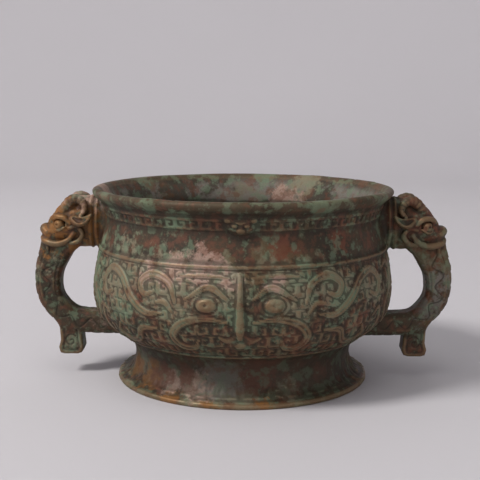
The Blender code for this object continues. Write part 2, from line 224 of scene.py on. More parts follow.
# Lumps of the crust and of the roughness on it, the casting's unevenness and its pits
CRUST_LUMPS = 24.0
ROUGH_LUMPS = 2.8
UNEVEN_LUMPS = 19.0
UNEVEN_HEIGHT = 0.1
PIT_SIZE = 2.2
PIT_FIELDS = 13.0
PIT_DEPTH = 0.4

# Patches of patina on the wall: degrees round from the front towards +X, height and size
WALL_PATCHES = {
    "olive": ((-50, 67, 25), (-26, 66, 24), (-6, 66, 16), (18, 62, 18), (36, 63, 16), (56, 62, 15),
              (76, 62, 14),
              (-64, 13, 14), (-20, 5, 13), (-8, 9, 17), (2, 2, 12), (24, 4, 10), (170, 62, 28),
              (150, 104, 14), (215, 60, 24), (262, 64, 22), (128, 62, 22), (150, 6, 14), (235, 6, 14)),
    "ochre": ((-50, 6, 13), (-32, 1, 9), (-68, 8, 11), (-14, 0, 7), (10, 0, 7)),
    "verdigris": ((-74, 64, 22), (-68, 52, 13), (-50, 33, 8), (-46, 50, 9), (-24, 99, 9), (-2, 52, 9),
                  (-14, 27, 9), (38, 56, 10), (24, 74, 8), (-8, 12, 8), (-60, 108, 9), (-34, 106, 8),
                  (28, 107, 9), (66, 106, 8), (150, 60, 18), (205, 85, 13), (118, 30, 12), (170, 107, 10),
                  (230, 106, 9)),
    "buff": ((-14, 77, 13), (-24, 73, 12), (-36, 72, 7), (-4, 72, 9), (-20, 6, 12), (-36, 7, 9), (12, 68, 7),
             (160, 92, 14), (228, 70, 10)),
    # Umber is dark bronze, and also painted shade: the patches on the neck's left under the lip, and those at
    # the back near the lip, which darken the shaded inside of the bowl
    "umber": ((-66, 96, 18), (-56, 98, 15), (-58, 84, 12), (28, 94, 16), (-44, 26, 12), (-12, 42, 9),
              (10, 44, 9), (-72, 98, 14), (-76, 92, 12), (-60, 36, 16), (2, 60, 7), (34, 28, 13),
              (-22, 26, 9), (52, 30, 12), (215, 98, 24), (240, 98, 18), (60, 96, 18), (-78, 109, 12),
              (-12, 108, 9), (8, 106, 10), (48, 108, 11), (84, 108, 12), (-46, 109, 9), (140, 96, 16),
              (255, 94, 14), (195, 108, 12)),
    # Painted light: the pale patch on the waist's front, which lies in shade under the belly
    "dust_and_painted_light": ((-9, 12, 14),),
    "rust": ((9, 16, 14), (-38, 58, 6), (20, 38, 11), (16, 88, 10), (-42, 10, 11), (-28, 12, 7), (40, 90, 9),
             (-30, 34, 9), (46, 44, 9), (185, 20, 14), (130, 74, 10), (250, 40, 9)),
}

# Patches on the handles: outward distance, less than 0 on the left, height and size
HANDLE_PATCHES = {
    "olive": ((-114, 60, 12), (-100, 18, 10)),
    "ochre": ((-104, 88, 22), (-88, 88, 18), (-113, 74, 10)),
    "buff": ((-90, 103, 16), (-84, 30, 9), (104, 50, 8)),
    # Painted light: pale patches that lighten the outer side of the right loop
    "dust_and_painted_light": ((115, 56, 13), (110, 38, 14)),
    "rust": ((104, 90, 17), (90, 90, 12), (112, 70, 9), (102, 14, 9), (-92, 28, 8)),
}

# How strongly each finish covers in the middle of its patches, in the order in which they lie on each other
PATCH_STRENGTH = {
    "umber": 0.75, "olive": 0.8, "verdigris": 0.7, "ochre": 0.92, "buff": 0.8, "rust": 0.85, "dust_and_painted_light": 0.8,
}
PATCH_LUMPS = 5.5
PATCH_RAGGED = 3.0

# Heights over the floor between which painted shade darkens the lip, and darkens the belly's underside and
# fades again
PAINTED_LIP_SHADE = (103.5, 106.5)
PAINTED_UNDERSIDE_SHADE = (54.0, 36.0)
UNDERSIDE_SHADE_FADE = (14.0, 22.0)

# Backdrop: radius of its flat floor, radius of the bend, height and number of sides
COVE_FLOOR = 1300.0
COVE_BEND = 900.0
COVE_HEIGHT = 2400.0
COVE_SIDES = 96

# Distance of the main light, and what the lamps point at, in metres
KEY_DISTANCE = 2.8
CENSER_MIDDLE = (0.0, 0.0, 0.05)

# Other lamps: angle round from the front, angle above the floor, distance, width and what they point at
SOFT_LAMPS = {
    "top": (-10, 80, 1.6, 1.0, CENSER_MIDDLE),
    "fill": (35, 14, 1.6, 0.7, CENSER_MIDDLE),
    "wash": (0, 60, 1.3, 1.2, (0.0, 1.7, 0.1)),
}


def clear_default_scene():
    """Takes away only what Blender puts in an empty file."""
    for name in ("Cube", "Light", "Camera"):
        stale = bpy.data.objects.get(name)
        if stale is not None and stale.type in ("MESH", "LIGHT", "CAMERA") and body_of(stale) is None:
            bpy.data.objects.remove(stale)


# Curves and noise


def curve_through(knots, per_span):
    """Points on a Catmull-Rom curve through the knots, of any dimension."""
    knots = np.asarray(knots, float)
    padded = np.vstack([2 * knots[0] - knots[1], knots, 2 * knots[-1] - knots[-2]])
    t = np.linspace(0, 1, per_span, endpoint=False)[:, None]
    spans = [
        b + 0.5 * t * (c - a + t * (2 * a - 5 * b + 4 * c - d + t * (3 * (b - c) + d - a)))
        for a, b, c, d in zip(padded, padded[1:], padded[2:], padded[3:])
    ]
    return np.vstack([*spans, knots[-1:]])


def evenly(line, pitch_at):
    """Points along a line of radii and heights, spaced by the pitch that pitch_at gives for a height."""
    steps = np.linalg.norm(np.diff(line, axis=0), axis=1)
    length = np.concatenate([[0.0], np.cumsum(steps)])
    pitch = pitch_at((line[1:, 1] + line[:-1, 1]) / 2)
    rows = np.concatenate([[0.0], np.cumsum(steps / pitch)])
    wanted = np.interp(np.linspace(0, rows[-1], max(round(rows[-1]), 2) + 1), rows, length)
    return np.stack([np.interp(wanted, length, line[:, 0]), np.interp(wanted, length, line[:, 1])], axis=1)


def ramp(value, low, high):
    """Smooth step from 0 at low to 1 at high."""
    t = np.clip((value - low) / (high - low), 0, 1)
    return t * t * (3 - 2 * t)


def window(value, low, high, soft):
    """1 between low and high and 0 outside, with soft edges inside the two."""
    return ramp(value, low, low + soft) * (1 - ramp(value, high - soft, high))


def bell(value, width):
    """1 at a value of 0, falling away within the width."""
    return np.exp(-((value / width) ** 2))


def grain(points, size, seed):
    """Smooth noise from -1 to 1 at points in millimetres, with lumps of the given size."""
    cell = np.floor(points / size)
    part = points / size - cell
    part = part * part * part * (part * (part * 6 - 15) + 10)
    cell = cell.astype(np.int64)
    total = np.zeros(len(points))
    for corner in np.ndindex(2, 2, 2):
        x, y, z = (cell + corner).T
        mixed = ((x * 73856093) ^ (y * 19349663) ^ (z * 83492791) ^ (seed * 69069)) & 0xFFFFFFFF
        mixed = ((mixed ^ (mixed >> 13)) * 1274126177) & 0xFFFFFFFF
        mixed = ((mixed ^ (mixed >> 15)) * 668265263) & 0xFFFFFFFF
        weight = np.prod(np.where(corner, part, 1 - part), axis=1)
        total += weight * (((mixed ^ (mixed >> 16)) & 0xFFFF) / 32767.5 - 1)
    return total


def layered(points, size, seed, layers=3):
    """Noise with finer and weaker layers on top of the first."""
    return sum(0.5 ** k * grain(points, size * 0.5 ** k, seed + k) for k in range(layers))


def weathering(points, settings):
    """Lumps of crust and small pits of an old casting, as a lift in millimetres, and the crust's share."""
    seed = settings.seed
    crust = ramp(layered(points, CRUST_LUMPS, seed) + 0.35 * grain(points, 4.0, seed + 7), 0.12, 0.55)
    rough = layered(points, ROUGH_LUMPS, seed + 20, 2)
    lift = settings.crust_height / MM * crust * (0.6 + 0.7 * rough)
    lift = lift + UNEVEN_HEIGHT * grain(points, UNEVEN_LUMPS, seed + 30)
    field = ramp(grain(points, PIT_FIELDS, seed + 41), 0.0, 0.5)
    pits = ramp(grain(points, PIT_SIZE, seed + 40), 0.5, 0.85) * field
    return lift - PIT_DEPTH * pits + 0.04 * rough, crust


# Relief of the vessel's wall, from the distance round the belly to the nearer nose, and the height


def stroke_at(s, z, knots):
    """How far inside a stroke a point is, 0 at its edge and 1 on its middle, its distance from the middle,
    and its distance outside the stroke."""
    path = curve_through(knots, 5)
    inside = np.full(s.shape, -9.0)
    outside = np.full(s.shape, 99.0)
    middle = np.full(s.shape, 99.0)
    for (s0, z0, w0), (s1, z1, w1) in zip(path, path[1:]):
        run = (s1 - s0) ** 2 + (z1 - z0) ** 2
        t = np.clip(((s - s0) * (s1 - s0) + (z - z0) * (z1 - z0)) / run, 0, 1)
        away = np.hypot(s - s0 - t * (s1 - s0), z - z0 - t * (z1 - z0))
        width = w0 + t * (w1 - w0)
        inside = np.maximum(inside, 1 - away / width)
        outside = np.minimum(outside, away - width)
        middle = np.minimum(middle, away)
    return inside, middle, outside


def boss_at(s, z, shape):
    """Height of a rounded boss, and the distance from its middle as a share of its size."""
    around, height, half_across, half_up, proud = shape
    share = np.hypot((s - around) / half_across, (z - height) / half_up)
    return proud * np.sqrt(np.clip(1 - share ** 2, 0, 1)), share


def squared_spirals(s, z, wide, high, turns):
    """1 on the ridges of squared spirals, one in each cell, that turn left and right by turns."""
    column, row = np.floor(s / wide), np.floor(z / high)
    u = s / wide - column - 0.5
    v = z / high - row - 0.5
    hand = np.where((column + row) % 2 == 0, 1.0, -1.0)
    out = 2 * np.maximum(np.abs(u), np.abs(v))
    turn = np.arctan2(v, u * hand) / (2 * math.pi)
    return ramp(np.cos(2 * math.pi * (turns * out - turn)), -0.5, 0.4)


def belly_relief(s, z, settings):
    """Relief of the belly between the two bowstring lines."""
    lift = np.zeros(s.shape)
    clear = np.full(s.shape, 99.0)
    for strokes, proud in ((MASK_STROKES, MASK_PROUD), (SIDE_STROKES, SIDE_PROUD)):
        for knots in strokes:
            inside, middle, outside = stroke_at(s, z, knots)
            line = 0.5 * bell(middle, 0.6) * ramp(inside, 0.3, 1.0) * (strokes is MASK_STROKES)
            lift = np.maximum(lift, proud * ramp(inside, 0.0, 0.4) - line)
            clear = np.minimum(clear, outside)
    inside, middle, outside = stroke_at(s, z, NOSE)
    notches = 0.4 * ramp(np.cos(2 * math.pi * z / 5.2), 0.6, 1.0) * ramp(middle, 0.5, 1.4)
    lift = np.maximum(lift, NOSE_PROUD * ramp(inside, 0.0, 0.6) - notches * ramp(inside, 0.0, 0.3))
    clear = np.minimum(clear, outside)
    for shape in (MASK_EYE, SIDE_EYE, MOUTH):
        dome, share = boss_at(s, z, shape)
        size = min(shape[2:4])
        lid = 0.8 * bell((share - 1.25) * size, 0.8)
        pupil = bell(share * size, 1.1) * (shape is MASK_EYE)
        lift = np.maximum(lift, np.maximum(dome - pupil, lid))
        clear = np.minimum(clear, (share - 1.45) * size)
    low, high = STRINGS[1] + 1.2, STRINGS[0] - 1.6
    spirals = squared_spirals(s, z - low, CELL_WIDTH, (high - low) / CELL_ROWS, settings.spiral_turns)
    ground = settings.ground_depth / MM * spirals * window(z, low, high, 0.6)
    return lift + ground * ramp(clear, 0.3, 1.0)


def neck_relief(s, z, settings):
    """The band of running spirals round the neck, with the small beast face at its middle."""
    face, share = boss_at(s, z, NECK_FACE)
    low, high = NECK_BAND
    cut = window(z, low + 0.7, high - 0.7, 0.5)
    spirals = squared_spirals(s, z - low, CELL_WIDTH, high - low, settings.spiral_turns)
    lift = NECK_BAND_PROUD * window(z, low - 0.3, high + 0.3, 0.6)
    lift = lift - 0.6 * cut * (1 - spirals) * ramp(share, 1.1, 1.3)
    eye, eye_share = boss_at(s, z, NECK_EYE)
    snout, _ = boss_at(s, z, NECK_SNOUT)
    ear, _ = boss_at(s, z, NECK_EAR)
    brow = 0.5 * bell(z - NECK_BROW_HEIGHT - 0.1 * s, 0.6) * (s < 6)
    face = face * 0.85 + eye + snout + brow
    face = face - 0.5 * bell(eye_share - 1.4, 0.3)
    return np.maximum(np.maximum(lift, face * (share < 1)), ear)


def wall_relief(s, z, settings):
    """Everything raised on the outside of the vessel, in millimetres."""
    lift = np.zeros(s.shape)
    belly = (z > STRINGS[1]) & (z < STRINGS[0])
    neck = z > CARVED_NECK[1]
    lift[belly] = belly_relief(s[belly], z[belly], settings)
    lift[neck] = neck_relief(s[neck], z[neck], settings)
    for middle, half_width in zip(STRINGS, STRING_HALF_WIDTHS):
        string = STRING_PROUD * np.sqrt(np.clip(1 - ((z - middle) / half_width) ** 2, 0, 1))
        lift = np.maximum(lift, string)
    low, high = FOOT_BAND
    spirals = squared_spirals(s, z - low, FOOT_CELL_WIDTH, high - low, settings.spiral_turns)
    return lift + FOOT_BAND_DEPTH * spirals * window(z, low, high, 0.6)


# Meshes


def mesh_object(name, points, faces, material):
    """A smooth-shaded object of points in millimetres."""
    mesh = bpy.data.meshes.new(name)
    mesh.from_pydata((np.asarray(points) * MM).tolist(), [], faces)
    mesh.validate()
    mesh.shade_smooth()
    mesh.materials.append(material)
    made = bpy.data.objects.new(name, mesh)
    bpy.context.scene.collection.objects.link(made)
    return made


def store(mesh, name, values):
    """Keeps a number for each point of a mesh, for its material."""
    layer = mesh.attributes.new(name, "FLOAT", "POINT")
    layer.data.foreach_set("value", np.asarray(values, np.float32))


def standing_out(mesh, rounds=14):
    """How far each point stands out of the smoothed surface round it, in millimetres, below 0 in a hollow."""
    count = len(mesh.vertices)
    points = np.empty(count * 3, np.float32)
    normals = np.empty(count * 3, np.float32)
    edges = np.empty(len(mesh.edges) * 2, np.int32)
    mesh.vertices.foreach_get("co", points)
    mesh.vertex_normals.foreach_get("vector", normals)
    mesh.edges.foreach_get("vertices", edges)
    points = points.reshape(-1, 3) / MM
    start, end = np.vstack([edges.reshape(-1, 2), edges.reshape(-1, 2)[:, ::-1]]).T
    neighbours = np.bincount(start, minlength=count)[:, None]
    smooth = points
    for _ in range(rounds):
        sums = [np.bincount(start, smooth[end, k], count) for k in range(3)]
        smooth = np.stack(sums, axis=1) / neighbours
    return ((points - smooth) * normals.reshape(-1, 3)).sum(axis=1)


def stood_in_box(points):
    """Points in millimetres raised to the datum, and held inside the box of the solids."""
    low, high = (np.array(corner) / MM for corner in CAD_BOUNDS)
    return np.clip(points + [0.0, 0.0, DATUM], low, high)


def stand_for_censer(piece):
    """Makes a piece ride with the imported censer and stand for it."""
    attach(piece, "root")
    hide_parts("censer")


def joined(first, second):
    """Faces between two rings of point numbers, one of which may have a whole number of times more points."""
    if len(first) == len(second):
        return np.stack([first, second, np.roll(second, -1), np.roll(first, -1)], axis=1).tolist()
    few, many = (first, second) if len(first) < len(second) else (second, first)
    share = len(many) // len(few)
    half = (share + 1) // 2
    faces = []
    for k, corner in enumerate(few):
        after = few[(k + 1) % len(few)]
        run = [many[(share * k + i) % len(many)] for i in range(share + 1)]
        faces.append((corner, run[half], after))
        faces += [(corner if i < half else after, run[i], run[i + 1]) for i in range(share)]
    faces = np.array(faces)
    return (faces if few is first else faces[:, ::-1]).tolist()


def vessel_rings(settings):
    """Radius, height, number of points and whether it is carved, for each ring from bowl to hollow."""
    if settings.columns % 72:
        raise ValueError("The number of points round has to be a multiple of 72")
    pitch = settings.pitch / MM

    def plain(step):
        return lambda height: np.full(np.shape(height), step)

    def belly_pitch(height):
        near_string = np.min([np.abs(height - middle) for middle in STRINGS], axis=0) < STRING_MARGIN
        return np.where(near_string, pitch * 0.6, pitch)

    wall = curve_through(WALL, 14)
    height = wall[:, 1]
    lip, neck = CARVED_NECK
    calm, belly = CARVED_BELLY
    # Each part: its line, the spacing of its rings, what its points round are divided by, and if it is carved
    parts = (
        (np.array(FLOOR_MIDDLE), plain(2.6), 24, False),
        (np.array(FLOOR_EDGE), plain(3.0), 8, False),
        (curve_through(BOWL, 8), plain(3.2), 8, False),
        (curve_through(LIP, 12), plain(1.0), 2, False),
        (wall[height >= lip], plain(pitch * 1.3), 2, True),
        (wall[(height < lip) & (height >= neck)], plain(pitch * 0.9), 1, True),
        (wall[(height < neck) & (height >= calm)], plain(pitch * 1.7), 2, True),
        (wall[(height < calm) & (height >= belly)], belly_pitch, 1, True),
        (wall[height < belly], plain(pitch * 1.5), 1, True),
        (np.array(EDGE), plain(0.9), 2, False),
        (np.array(HOLLOW), plain(4.0), 8, False),
    )
    rings = []
    for line, pitch_at, share, carved in parts:
        for radius, level in evenly(line, pitch_at):
            if not rings or math.hypot(radius - rings[-1][0], level - rings[-1][1]) > 0.25:
                rings.append((radius, level, settings.columns // share, carved))
    return rings


def build_vessel(settings, patina, material):
    """The bowl, lip, wall and foot as one closed surface."""
    section = np.array(vessel_rings(settings))
    profile, counts, carved = section[:, :2], section[:, 2].astype(int), section[:, 3] > 0
    slope = np.gradient(profile, axis=0)
    slope /= np.linalg.norm(slope, axis=1, keepdims=True)
    starts = np.concatenate([[0], np.cumsum(counts)[:-1]])
    ring = np.repeat(np.arange(len(counts)), counts)
    angle = 2 * math.pi * (np.arange(len(ring)) - starts[ring]) / counts[ring]
    radius, height = profile[ring].T
    out, up = -slope[ring, 1], slope[ring, 0]
    facing = np.stack([out * np.sin(angle), -out * np.cos(angle), up], axis=1)
    points = np.stack([radius * np.sin(angle), -radius * np.cos(angle), height], axis=1)

    from_nose = np.abs((angle + math.pi / 2) % math.pi - math.pi / 2) * BELLY_RADIUS
    on_wall = carved[ring]
    relief = np.zeros(len(points))
    relief[on_wall] = wall_relief(from_nose[on_wall], height[on_wall], settings)
    lift, crust = weathering(points, patina)
    indoors = (ring < np.argmax(carved)) * ramp(-radius, -82.0, -79.5)
    # Weathering fades out on the standing edge and in the middle of the floor
    lift = lift * ramp(height, -1.7, 0.0) * ramp(radius, 1.0, 16.0)
    points += facing * (relief + lift)[:, None]
    points = stood_in_box(np.vstack([points, [0.0, 0.0, BOWL_MIDDLE], [0.0, 0.0, HOLLOW_MIDDLE]]))

    numbers = [np.arange(start, start + count) for start, count in zip(starts, counts)]
    faces = [face for above, below in zip(numbers, numbers[1:]) for face in joined(above, below)]
    bowl_middle, hollow_middle = len(points) - 2, len(points) - 1
    faces += [(bowl_middle, a, b) for a, b in zip(numbers[0].tolist(), np.roll(numbers[0], -1).tolist())]
    faces += [(hollow_middle, b, a) for a, b in zip(numbers[-1].tolist(), np.roll(numbers[-1], -1).tolist())]
    made = mesh_object("vessel", points, faces, material)
    store(made.data, "standing_out", standing_out(made.data))
    store(made.data, "crusted", np.append(crust, [0.5, 0.5]))
    store(made.data, "indoors", np.append(indoors, [1.0, 0.0]))
    return made


# Handles, from fields of distances


def blended(a, b, soft):
    """Distance to two shapes joined, with a fillet of about the given size where they meet."""
    share = np.clip(0.5 + 0.5 * (b - a) / soft, 0, 1)
    return b + share * (a - b) - soft * share * (1 - share)


def cut_out(a, b, soft):
    """Distance to the first shape with the second cut out of it."""
    return -blended(-a, b, soft)


def rod(points, knots, rings=0):
    """Distance to a rod along smooth knots of x, y, z and radius, true only near it."""
    path = curve_through(knots, 5)
    reach = path[:, 3].max() + 6.0
    low, high = path[:, :3].min(axis=0) - reach, path[:, :3].max(axis=0) + reach
    close = np.all((points > low) & (points < high), axis=1)
    here = points[close]
    away = np.full(len(here), 30.0)
    for k, (start, end) in enumerate(zip(path, path[1:])):
        run = end[:3] - start[:3]
        t = np.clip((here - start[:3]) @ run / (run @ run), 0, 1)
        thick = start[3] + t * (end[3] - start[3])
        if rings:
            wave = np.cos(2 * math.pi * rings * (k + t) / (len(path) - 1))
            thick = thick * (1 + HORN_RING_PROUD * wave)
        away = np.minimum(away, np.linalg.norm(here - start[:3] - t[:, None] * run, axis=1) - thick)
    result = np.full(len(points), 30.0)
    result[close] = away
    return result


def ball(points, x, y, z, radius):
    """Distance to a ball."""
    return np.linalg.norm(points - (x, y, z), axis=1) - radius


def beside_path(points, stations):
    """Distance along a path in the handle's plane, distance from it, more than 0 on its outer side, and the
    half thickness and half width there."""
    path = curve_through(stations, 6)
    nearest = np.full(len(points), 1e6)
    found = np.zeros((4, len(points)))
    run = 0.0
    x, z = points[:, 0], points[:, 2]
    for (x0, z0, thick0, wide0), (x1, z1, thick1, wide1) in zip(path, path[1:]):
        dx, dz = x1 - x0, z1 - z0
        step = math.hypot(dx, dz)
        t = np.clip(((x - x0) * dx + (z - z0) * dz) / step ** 2, 0, 1)
        away = np.hypot(x - x0 - t * dx, z - z0 - t * dz)
        side = np.where((x - x0) * dz - (z - z0) * dx > 0, -1.0, 1.0)
        better = away < nearest
        nearest[better] = away[better]
        values = (run + t * step, away * side, thick0 + t * (thick1 - thick0), wide0 + t * (wide1 - wide0))
        for kept, value in zip(found, values):
            kept[better] = value[better]
        run += step
    return found


def rounded_slab(u, v, corner):
    """Distance to a corner of two faces, from the distances to the faces, with its edge rounded."""
    u, v = u + corner, v + corner
    return np.hypot(np.maximum(u, 0), np.maximum(v, 0)) + np.minimum(np.maximum(u, v), 0) - corner


def outline_gap(points, corners):
    """Distance to a closed outline in the handle's plane, less than 0 inside it."""
    x, z = points[:, 0], points[:, 2]
    away = np.full(len(x), 1e6)
    inside = np.zeros(len(x), bool)
    for (x0, z0), (x1, z1) in zip(corners, corners[1:] + corners[:1]):
        dx, dz = x1 - x0, z1 - z0
        t = np.clip(((x - x0) * dx + (z - z0) * dz) / (dx * dx + dz * dz), 0, 1)
        away = np.minimum(away, np.hypot(x - x0 - t * dx, z - z0 - t * dz))
        if dz:
            inside ^= ((z0 > z) != (z1 > z)) & (x < x0 + dx * (z - z0) / dz)
    return np.where(inside, -away, away)


def wall_gap(points):
    """Distance outwards from the vessel's wall."""
    radius, height = curve_through(WALL, 6)[::-1].T
    lean = np.interp(points[:, 2], height, np.gradient(radius, height))
    away = np.hypot(points[:, 0], points[:, 1]) - np.interp(points[:, 2], height, radius)
    return away / np.sqrt(1 + lean ** 2)


def head_form(points):
    """Distance to the beast head, for points on its near side."""
    _, away, thick, wide = beside_path(points, HEAD)
    form = (np.hypot(away / thick, points[:, 1] / wide) - 1) * np.minimum(thick, wide)
    for middle in COLLARS:
        form = form - COLLAR_PROUD * bell(points[:, 0] - middle, 1.0)
    for knots, soft in ((SNOUT, 1.6), (RIDGE, 1.4), (CHEEK, 0.8), (LIP_FOLD, 1.0), (BROW, 1.0), (FANG, 0.4)):
        form = blended(form, rod(points, knots), soft)
    form = cut_out(form, ball(points, *EYE[:3], EYE[3] + 0.7), 0.5)
    form = np.minimum(form, ball(points, *EYE))
    form = blended(form, rod(points, LOWER_LID), 0.5)
    form = cut_out(form, ball(points, *PUPIL), 0.4)
    form = cut_out(form, ball(points, *NOSTRIL), 0.8)
    form = blended(form, cut_out(rod(points, EAR), rod(points, EAR_HOLLOW), 0.5), 0.9)
    return blended(form, rod(points, HORN, HORN_RINGS), 0.9)


def handle_form(points):
    """Distance to the right handle, with the thin skirt that roots it in the wall."""
    points = np.abs(points)
    _, away, thick, wide = beside_path(points, LOOP)
    form = rounded_slab(np.abs(away) - thick, points[:, 1] - wide, 4.4)
    tab = rounded_slab(outline_gap(points, TAB), points[:, 1] - TAB_HALF_WIDTH, TAB_EDGE)
    form = blended(form, tab, 2.0)
    form = blended(form, head_form(points), 0.8)
    wall = wall_gap(points)
    rooted = blended(form, wall, WALL_FILLET) + 1.2 * ramp(form, 2.0, WALL_FILLET)
    return np.maximum(np.maximum(rooted, form - WALL_FILLET - 0.6), -wall - ROOT_DEPTH)


def handle_lines(points):
    """Depth, from 0 to 1, of the lines cut into the loop and the tab."""
    points = np.abs(points)
    run, away, thick, _ = beside_path(points, LOOP)
    side = points[:, 1]
    rails = bell(np.abs(away) - RAIL, 0.55)
    wave = bell(away - WAVE_HEIGHT * np.sin(2 * math.pi * run / WAVE_LENGTH), 0.65) * (np.abs(away) < 4.4)
    flank = ramp(side, 7.4, 7.9) * np.maximum(rails, wave)
    scale = np.abs((run / SCALE_LENGTH + 0.5 * (side / 8.0) ** 2) % 1 - 0.5) * SCALE_LENGTH
    scales = bell(scale, 0.6) * (1 - ramp(side, 6.0, 6.8)) * ramp(away, thick - 3.0, thick - 2.0)
    on_loop = ramp(run, 15.0, 19.0) * ramp(wall_gap(points), 3.0, 6.0) * ramp(-points[:, 2], -80.0, -77.0)
    on_loop = on_loop * (np.abs(away) < thick + 1.5)
    gap = outline_gap(points, TAB)
    across, above = points[:, 0] - CURL_MIDDLE[0], points[:, 2] - CURL_MIDDLE[1]
    out = np.hypot(across, above)
    turn = np.arctan2(above, across) / (2 * math.pi)
    curl = ramp(np.cos(2 * math.pi * (out / CURL_PITCH - turn)), 0.2, 0.9) * (out < CURL_RADIUS)
    on_tab = ramp(-points[:, 2], -26.0, -24.5) * (gap < 0.5) * ramp(side, 5.6, 6.1)
    return np.clip(on_loop * (flank + scales) + on_tab * np.maximum(bell(gap + 2.6, 0.55), curl), 0, 1)


def surface_of(field, low, pitch):
    """Points and faces of the surface on which a field over a grid is zero, by surface nets."""
    cells = np.array(field.shape) - 1
    total = np.zeros((*cells, 3))
    crossings = np.zeros(cells)
    first, second = slice(None, -1), slice(1, None)
    for axis in range(3):
        u, v = [k for k in range(3) if k != axis]
        for i, j in np.ndindex(2, 2):
            pick = [first] * 3
            pick[u], pick[v] = (first, second)[i], (first, second)[j]
            a = field[tuple(pick)]
            pick[axis] = second
            b = field[tuple(pick)]
            crossed = (a < 0) != (b < 0)
            total[crossed, u] += i
            total[crossed, v] += j
            total[crossed, axis] += a[crossed] / (a - b)[crossed]
            crossings += crossed
    used = crossings > 0
    number = np.full(cells, -1)
    number[used] = np.arange(used.sum())
    points = low + pitch * (np.stack(np.nonzero(used), axis=1) + total[used] / crossings[used][:, None])
    faces = []
    for axis in range(3):
        u, v = [k for k in range(3) if k != axis]
        pick = [slice(1, -1)] * 3
        pick[axis] = first
        a = field[tuple(pick)] < 0
        pick[axis] = second
        b = field[tuple(pick)] < 0
        at = np.stack(np.nonzero(a != b), axis=1)
        ring = []
        for du, dv in ((0, 0), (1, 0), (1, 1), (0, 1)):
            cell = at.copy()
            cell[:, u] += du
            cell[:, v] += dv
            ring.append(number[tuple(cell.T)])
        ring = np.stack(ring, axis=1)
        flip = a[a != b] == (axis == 1)
        ring[flip] = ring[flip][:, ::-1]
        faces.append(ring)
    return points, np.vstack(faces)


def slope_of(form, points, reach=0.15):
    """Direction in which a field of distances grows fastest."""
    steps = reach * np.eye(3)
    slope = np.stack([form(points + step) - form(points - step) for step in steps], axis=1) / (2 * reach)
    return slope / np.maximum(np.linalg.norm(slope, axis=1, keepdims=True), 0.3)


def handle_mesh(settings):
    """Points, faces and outward directions of the right handle, before weathering."""
    pitch = settings.pitch / MM
    low, high = np.array(HANDLE_SPACE)
    x, y, z = (np.arange(start, stop, pitch) for start, stop in zip(low, high))
    grid = np.stack(np.meshgrid(x, y, z, indexing="ij"), axis=-1).reshape(-1, 3)
    field = handle_form(grid).reshape(len(x), len(y), len(z))
    field = np.concatenate([field[:, :0:-1], field], axis=1)
    low[1] = -y[-1]
    points, faces = surface_of(field, low, pitch)
    for _ in range(2):
        points = points - slope_of(handle_form, points) * np.clip(handle_form(points), -0.3, 0.3)[:, None]
    facing = slope_of(handle_form, points)
    return points - facing * (settings.line_depth / MM * handle_lines(points))[:, None], faces, facing


def build_handle(name, side, shape, patina, material):
    """One handle, from the right handle's shape; side is -1 for the left one."""
    points, faces, facing = shape
    across = np.array([side, 1.0, 1.0])
    points, facing = points * across, facing * across
    lift, crust = weathering(points, patina)
    points = stood_in_box(points + facing * (0.8 * lift)[:, None])
    made = mesh_object(name, points, (faces if side > 0 else faces[:, ::-1]).tolist(), material)
    store(made.data, "standing_out", standing_out(made.data))
    store(made.data, "crusted", crust)
    store(made.data, "indoors", np.zeros(len(points)))
    return made


# Materials


class Value:
    """A shader socket that stands in sums: each operator adds the Math node that it names."""

    def __init__(self, shader, socket):
        self.shader = shader
        self.socket = socket

    def __add__(self, other):
        return self.shader.math("ADD", self, other)

    def __sub__(self, other):
        return self.shader.math("SUBTRACT", self, other)

    def __mul__(self, other):
        return self.shader.math("MULTIPLY", self, other)

    def __rsub__(self, other):
        return self.shader.math("SUBTRACT", other, self)

    __radd__ = __add__
    __rmul__ = __mul__


class Shader:
    """Adds nodes to the tree of one material."""

    def __init__(self, tree):
        self.tree = tree
        tree.nodes.clear()

    def add(self, kind, settings, inputs, output=0):
        """Adds a node with its settings, then the values or links of its sockets, and gives one output."""
        node = self.tree.nodes.new(kind)
        for name, value in settings.items():
            setattr(node, name, value)
        for name, value in inputs.items():
            if isinstance(value, Value):
                self.tree.links.new(value.socket, node.inputs[name])
            else:
                node.inputs[name].default_value = value
        return Value(self, node.outputs[output]) if node.outputs else None

    def math(self, operation, *values):
        """A Math node on two values."""
        return self.add("ShaderNodeMath", {"operation": operation}, dict(enumerate(values)))

    def mask(self, value, low, high):
        """0 where the value is low and 1 where it is high, with a smooth step between."""
        limits = {"Value": value, "From Min": low, "From Max": high}
        return self.add("ShaderNodeMapRange", {"interpolation_type": "SMOOTHSTEP"}, limits)

    def mix(self, share, first, second, blend="MIX"):
        """Mixes two colours."""
        settings = {"data_type": "RGBA", "blend_type": blend}
        return self.add("ShaderNodeMix", settings, {0: share, 6: first, 7: second}, 2)

    def cloud(self, place, size, detail=3.0, rough=0.55, seed=0.0):
        """Noise around 0.5 with lumps of a size in millimetres."""
        inputs = {"Vector": place, "W": seed, "Scale": 1 / (size * MM), "Detail": detail, "Roughness": rough}
        return self.add("ShaderNodeTexNoise", {"noise_dimensions": "4D"}, inputs)


def on_wall(degrees, height):
    """The place on the vessel's wall at an angle round from the front and a height, in metres."""
    radius, level = curve_through(WALL, 6)[::-1].T
    reach = float(np.interp(height, level, radius)) * MM
    angle = math.radians(degrees)
    return reach * math.sin(angle), -reach * math.cos(angle), (height + DATUM) * MM


